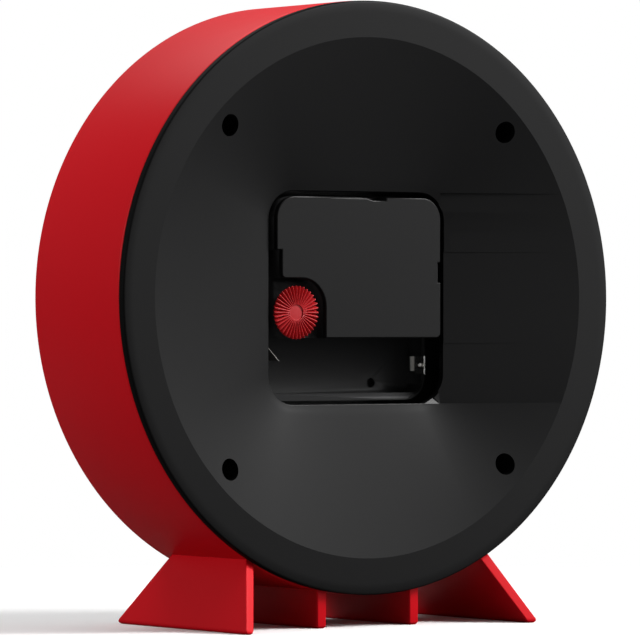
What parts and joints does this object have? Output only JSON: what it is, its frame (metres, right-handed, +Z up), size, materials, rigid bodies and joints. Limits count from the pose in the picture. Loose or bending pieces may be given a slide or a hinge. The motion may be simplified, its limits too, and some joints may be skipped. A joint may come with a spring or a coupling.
{
  "type": "table clock",
  "caption": "Round table clock in a drum case on four moulded feet, with a snap-in quartz movement set from the back.",
  "frame": {"origin": "centre of the bounding box's underside, on the table under the middle of the feet", "axes": "+Z up, the dial faces -Y and the back cover faces +Y, +X to the right as the dial is read"},
  "size_m": [0.1612, 0.0626, 0.1698],
  "materials": {
    "red_shell": "glossy",
    "black_cover": "satin",
    "screw_steel": "plain",
    "clear_lens": "clear",
    "white_trim": "satin",
    "dial_white": "printed",
    "gasket_rubber": "matte",
    "plated_steel": "plated",
    "turned_brass": "turned",
    "black_movement": "satin",
    "plate_plastic": "satin",
    "gear_plastic": "satin",
    "knob_red": "glossy",
    "magnet_black": "sintered",
    "copper_wire": "enamelled",
    "board_green": "lacquered",
    "resin_black": "glossy",
    "contact_metal": "nickel plated",
    "hand_black": "satin",
    "hand_red": "satin"
  },
  "bodies": {
    "clock_body": {"case": "red_shell", "back_cover": "black_cover", "cover_screws": "screw_steel", "lens": "clear_lens", "front_bezel": "red_shell", "distance_ring": "white_trim", "dial": "dial_white", "dial_gasket": "gasket_rubber", "nut_washer": "plated_steel", "hand_nut": "turned_brass", "movement_housing": "black_movement", "movement_lid": "black_movement", "train_plate": "plate_plastic", "stator": "plated_steel", "coil_bobbin": "plate_plastic", "coil_winding": "copper_wire", "circuit_board": "board_green", "chip_cover": "resin_black", "quartz_crystal": "plated_steel", "positive_contact": "contact_metal", "negative_contact": "contact_metal"},
    "minute_group": {"minute_hand": "hand_black", "minute_arbor": "gear_plastic"},
    "hour_group": {"hour_hand": "hand_black", "hour_wheel": "gear_plastic"},
    "motion_group": {"motion_wheel": "gear_plastic"},
    "setting_group": {"set_knob": "knob_red", "setting_arbor": "knob_red"},
    "second_group": {"second_hand": "hand_red", "seconds_wheel": "gear_plastic"},
    "third_group": {"third_wheel": "gear_plastic"},
    "centre_group": {"centre_wheel": "gear_plastic"},
    "fifth_group": {"fifth_wheel": "gear_plastic"},
    "rotor_group": {"rotor_pinion": "gear_plastic", "rotor_magnet": "magnet_black"}
  },
  "joints": [
    {"name": "minute_turn", "type": "hinge", "parent": "clock_body", "child": "minute_group", "pos_m": [0, 0, 0.0892], "axis": [0, 1, 0], "continuous": true},
    {"name": "hour_turn", "type": "hinge", "parent": "clock_body", "child": "hour_group", "pos_m": [0, 0, 0.0892], "axis": [0, 1, 0], "continuous": true},
    {"name": "motion_turn", "type": "hinge", "parent": "clock_body", "child": "motion_group", "pos_m": [0.01141, 0, 0.09292], "axis": [0, 1, 0], "continuous": true},
    {"name": "setting_turn", "type": "hinge", "parent": "clock_body", "child": "setting_group", "pos_m": [0.0206, 0, 0.0852], "axis": [0, 1, 0], "continuous": true},
    {"name": "second_turn", "type": "hinge", "parent": "clock_body", "child": "second_group", "pos_m": [0, 0, 0.0892], "axis": [0, 1, 0], "continuous": true},
    {"name": "third_turn", "type": "hinge", "parent": "clock_body", "child": "third_group", "pos_m": [-0.00089, 0, 0.09936], "axis": [0, 1, 0], "continuous": true},
    {"name": "centre_turn", "type": "hinge", "parent": "clock_body", "child": "centre_group", "pos_m": [0, 0, 0.0892], "axis": [0, 1, 0], "continuous": true},
    {"name": "fifth_turn", "type": "hinge", "parent": "clock_body", "child": "fifth_group", "pos_m": [-0.01034, 0, 0.09102], "axis": [0, 1, 0], "continuous": true},
    {"name": "rotor_turn", "type": "hinge", "parent": "clock_body", "child": "rotor_group", "pos_m": [-0.01586, 0, 0.09565], "axis": [0, 1, 0], "continuous": true}
  ],
  "couplings": [
    {"joint": "hour_turn", "follows": "minute_turn", "ratio": 0.083333},
    {"joint": "motion_turn", "follows": "minute_turn", "ratio": -0.33333},
    {"joint": "setting_turn", "follows": "minute_turn", "ratio": 1},
    {"joint": "third_turn", "follows": "second_turn", "ratio": -0.13333},
    {"joint": "centre_turn", "follows": "second_turn", "ratio": 0.016667},
    {"joint": "fifth_turn", "follows": "second_turn", "ratio": -6},
    {"joint": "rotor_turn", "follows": "second_turn", "ratio": 30}
  ]
}
